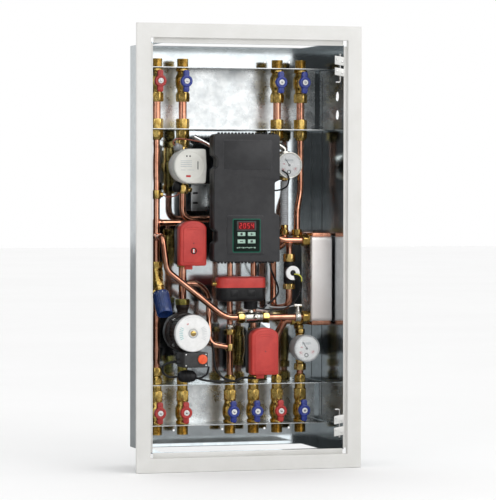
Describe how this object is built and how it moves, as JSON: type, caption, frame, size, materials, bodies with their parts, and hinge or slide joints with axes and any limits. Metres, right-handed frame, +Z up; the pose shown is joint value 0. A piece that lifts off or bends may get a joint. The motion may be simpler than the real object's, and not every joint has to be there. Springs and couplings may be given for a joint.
{
  "type": "heating interface unit",
  "caption": "Recessed wall cabinet with a heating interface and mixing unit: shut-off valves on two rails, pump, zone valves, meters, plate heat exchanger and controller.",
  "frame": {"origin": "centre of the cabinet's outer back face", "axes": "+X to the right as seen from the front, +Y into the wall, +Z up"},
  "size_m": [0.63, 0.25, 1.2],
  "materials": {
    "cabinet_box_mat": "galvanised sheet",
    "trim_frame_mat": "satin powder coat",
    "upper_rail_mat": "galvanised sheet",
    "lower_rail_mat": "galvanised sheet",
    "supply_pipe_mat": null,
    "regulator_body_mat": "machined",
    "heat_meter_body_mat": "machined",
    "heat_meter_display_mat": "moulded",
    "zone_valve_left_mat": "machined",
    "actuator_left_mat": "moulded",
    "pump_volute_mat": "painted casting",
    "pump_motor_mat": "painted casting",
    "pump_terminal_box_mat": "moulded",
    "middle_valve_mat": "nickel plated",
    "actuator_middle_mat": "moulded",
    "heat_exchanger_mat": "nickel plated",
    "cold_pipe_mat": null,
    "return_pipe_mat": null,
    "flow_sensor_mat": "moulded",
    "loop_pipe_mat": null,
    "water_meter_upper_mat": "machined",
    "water_meter_lower_mat": "machined",
    "hot_pipe_mat": null,
    "zone_valve_right_mat": "machined",
    "actuator_right_mat": "moulded",
    "mixing_riser_mat": null,
    "controller_back_mat": "moulded",
    "controller_cover_mat": "moulded",
    "power_lead_mat": "cable sheath",
    "valve_top_0_mat": "machined",
    "valve_top_1_mat": "machined",
    "valve_top_5_mat": "machined",
    "valve_top_6_mat": "machined",
    "valve_low_0_mat": "machined",
    "valve_low_1_mat": "machined",
    "valve_low_3_mat": "machined",
    "valve_low_4_mat": "machined",
    "valve_low_5_mat": "machined",
    "valve_low_6_mat": "machined",
    "handle_top_0_mat": "moulded",
    "handle_top_1_mat": "moulded",
    "handle_top_5_mat": "moulded",
    "handle_top_6_mat": "moulded",
    "handle_low_0_mat": "moulded",
    "handle_low_1_mat": "moulded",
    "handle_low_3_mat": "moulded",
    "handle_low_4_mat": "moulded",
    "handle_low_5_mat": "moulded",
    "handle_low_6_mat": "moulded",
    "hinge_pin_upper_mat": "nickel plated",
    "hinge_pin_lower_mat": "nickel plated",
    "regulator_cap_mat": "moulded",
    "pump_rotor_mat": "nickel plated",
    "pump_vent_plug_mat": "machined",
    "pump_speed_knob_mat": "moulded",
    "middle_coupling_mat": "moulded",
    "key_1_mat": "moulded",
    "key_2_mat": "moulded",
    "key_3_mat": "moulded",
    "key_4_mat": "moulded"
  },
  "bodies": {
    "cabinet": {"cabinet_box": "cabinet_box_mat", "trim_frame": "trim_frame_mat", "upper_rail": "upper_rail_mat", "lower_rail": "lower_rail_mat", "supply_pipe": "supply_pipe_mat", "regulator_body": "regulator_body_mat", "heat_meter_body": "heat_meter_body_mat", "heat_meter_display": "heat_meter_display_mat", "zone_valve_left": "zone_valve_left_mat", "actuator_left": "actuator_left_mat", "pump_volute": "pump_volute_mat", "pump_motor": "pump_motor_mat", "pump_terminal_box": "pump_terminal_box_mat", "middle_valve": "middle_valve_mat", "actuator_middle": "actuator_middle_mat", "heat_exchanger": "heat_exchanger_mat", "cold_pipe": "cold_pipe_mat", "return_pipe": "return_pipe_mat", "flow_sensor": "flow_sensor_mat", "loop_pipe": "loop_pipe_mat", "water_meter_upper": "water_meter_upper_mat", "water_meter_lower": "water_meter_lower_mat", "hot_pipe": "hot_pipe_mat", "zone_valve_right": "zone_valve_right_mat", "actuator_right": "actuator_right_mat", "mixing_riser": "mixing_riser_mat", "controller_back": "controller_back_mat", "controller_cover": "controller_cover_mat", "power_lead": "power_lead_mat", "valve_top_0": "valve_top_0_mat", "valve_top_1": "valve_top_1_mat", "valve_top_5": "valve_top_5_mat", "valve_top_6": "valve_top_6_mat", "valve_low_0": "valve_low_0_mat", "valve_low_1": "valve_low_1_mat", "valve_low_3": "valve_low_3_mat", "valve_low_4": "valve_low_4_mat", "valve_low_5": "valve_low_5_mat", "valve_low_6": "valve_low_6_mat"},
    "handle_top_0": {"handle_top_0": "handle_top_0_mat"},
    "handle_top_1": {"handle_top_1": "handle_top_1_mat"},
    "handle_top_5": {"handle_top_5": "handle_top_5_mat"},
    "handle_top_6": {"handle_top_6": "handle_top_6_mat"},
    "handle_low_0": {"handle_low_0": "handle_low_0_mat"},
    "handle_low_1": {"handle_low_1": "handle_low_1_mat"},
    "handle_low_3": {"handle_low_3": "handle_low_3_mat"},
    "handle_low_4": {"handle_low_4": "handle_low_4_mat"},
    "handle_low_5": {"handle_low_5": "handle_low_5_mat"},
    "handle_low_6": {"handle_low_6": "handle_low_6_mat"},
    "hinge_pin_upper": {"hinge_pin_upper": "hinge_pin_upper_mat"},
    "hinge_pin_lower": {"hinge_pin_lower": "hinge_pin_lower_mat"},
    "regulator_cap": {"regulator_cap": "regulator_cap_mat"},
    "pump_rotor": {"pump_rotor": "pump_rotor_mat"},
    "pump_vent_plug": {"pump_vent_plug": "pump_vent_plug_mat"},
    "pump_speed_knob": {"pump_speed_knob": "pump_speed_knob_mat"},
    "middle_coupling": {"middle_coupling": "middle_coupling_mat"},
    "key_1": {"key_1": "key_1_mat"},
    "key_2": {"key_2": "key_2_mat"},
    "key_3": {"key_3": "key_3_mat"},
    "key_4": {"key_4": "key_4_mat"}
  },
  "joints": [
    {"name": "handle_top_0_turn", "type": "hinge", "parent": "cabinet", "child": "handle_top_0", "pos_m": [-0.215, -0.075, 0.4515], "axis": [0, 1, 0], "range_deg": [0, 90]},
    {"name": "handle_top_1_turn", "type": "hinge", "parent": "cabinet", "child": "handle_top_1", "pos_m": [-0.1415, -0.075, 0.4515], "axis": [0, 1, 0], "range_deg": [0, 90]},
    {"name": "handle_top_5_turn", "type": "hinge", "parent": "cabinet", "child": "handle_top_5", "pos_m": [0.1285, -0.075, 0.4515], "axis": [0, 1, 0], "range_deg": [0, 90]},
    {"name": "handle_top_6_turn", "type": "hinge", "parent": "cabinet", "child": "handle_top_6", "pos_m": [0.196, -0.075, 0.4515], "axis": [0, 1, 0], "range_deg": [0, 90]},
    {"name": "handle_low_0_turn", "type": "hinge", "parent": "cabinet", "child": "handle_low_0", "pos_m": [-0.215, -0.075, -0.4515], "axis": [0, 1, 0], "range_deg": [0, 90]},
    {"name": "handle_low_1_turn", "type": "hinge", "parent": "cabinet", "child": "handle_low_1", "pos_m": [-0.1415, -0.075, -0.4515], "axis": [0, 1, 0], "range_deg": [0, 90]},
    {"name": "handle_low_3_turn", "type": "hinge", "parent": "cabinet", "child": "handle_low_3", "pos_m": [-0.0065, -0.075, -0.4515], "axis": [0, 1, 0], "range_deg": [0, 90]},
    {"name": "handle_low_4_turn", "type": "hinge", "parent": "cabinet", "child": "handle_low_4", "pos_m": [0.061, -0.075, -0.4515], "axis": [0, 1, 0], "range_deg": [0, 90]},
    {"name": "handle_low_5_turn", "type": "hinge", "parent": "cabinet", "child": "handle_low_5", "pos_m": [0.1285, -0.075, -0.4515], "axis": [0, 1, 0], "range_deg": [0, 90]},
    {"name": "handle_low_6_turn", "type": "hinge", "parent": "cabinet", "child": "handle_low_6", "pos_m": [0.196, -0.075, -0.4515], "axis": [0, 1, 0], "range_deg": [0, 90]},
    {"name": "hinge_pin_upper_pull", "type": "slide", "parent": "cabinet", "child": "hinge_pin_upper", "axis": [0, 0, -1], "range_m": [0, 0.012]},
    {"name": "hinge_pin_lower_pull", "type": "slide", "parent": "cabinet", "child": "hinge_pin_lower", "axis": [0, 0, 1], "range_m": [0, 0.012]},
    {"name": "regulator_cap_turn", "type": "hinge", "parent": "cabinet", "child": "regulator_cap", "pos_m": [-0.21201, -0.12892, -0.15186], "axis": [0.0599, -0.5092, -0.8586], "range_deg": [-360, 360]},
    {"name": "pump_rotor_spin", "type": "hinge", "parent": "cabinet", "child": "pump_rotor", "pos_m": [-0.1415, -0.075, -0.232], "axis": [0, 1, 0], "continuous": true},
    {"name": "pump_vent_plug_turn", "type": "hinge", "parent": "cabinet", "child": "pump_vent_plug", "pos_m": [-0.1415, -0.1853, -0.232], "axis": [0, 1, 0], "range_deg": [0, 720]},
    {"name": "pump_speed_knob_turn", "type": "hinge", "parent": "cabinet", "child": "pump_speed_knob", "pos_m": [-0.1155, -0.1843, -0.302], "axis": [0, 1, 0], "range_deg": [0, 270]},
    {"name": "middle_coupling_turn", "type": "hinge", "parent": "cabinet", "child": "middle_coupling", "pos_m": [0.0375, -0.127, -0.1975], "axis": [0, 0, 1], "range_deg": [0, 90]},
    {"name": "key_1_press", "type": "slide", "parent": "cabinet", "child": "key_1", "axis": [0, 1, 0], "range_m": [0, 0.0008], "stiffness_N_per_m": 600},
    {"name": "key_2_press", "type": "slide", "parent": "cabinet", "child": "key_2", "axis": [0, 1, 0], "range_m": [0, 0.0008], "stiffness_N_per_m": 600},
    {"name": "key_3_press", "type": "slide", "parent": "cabinet", "child": "key_3", "axis": [0, 1, 0], "range_m": [0, 0.0008], "stiffness_N_per_m": 600},
    {"name": "key_4_press", "type": "slide", "parent": "cabinet", "child": "key_4", "axis": [0, 1, 0], "range_m": [0, 0.0008], "stiffness_N_per_m": 600}
  ]
}
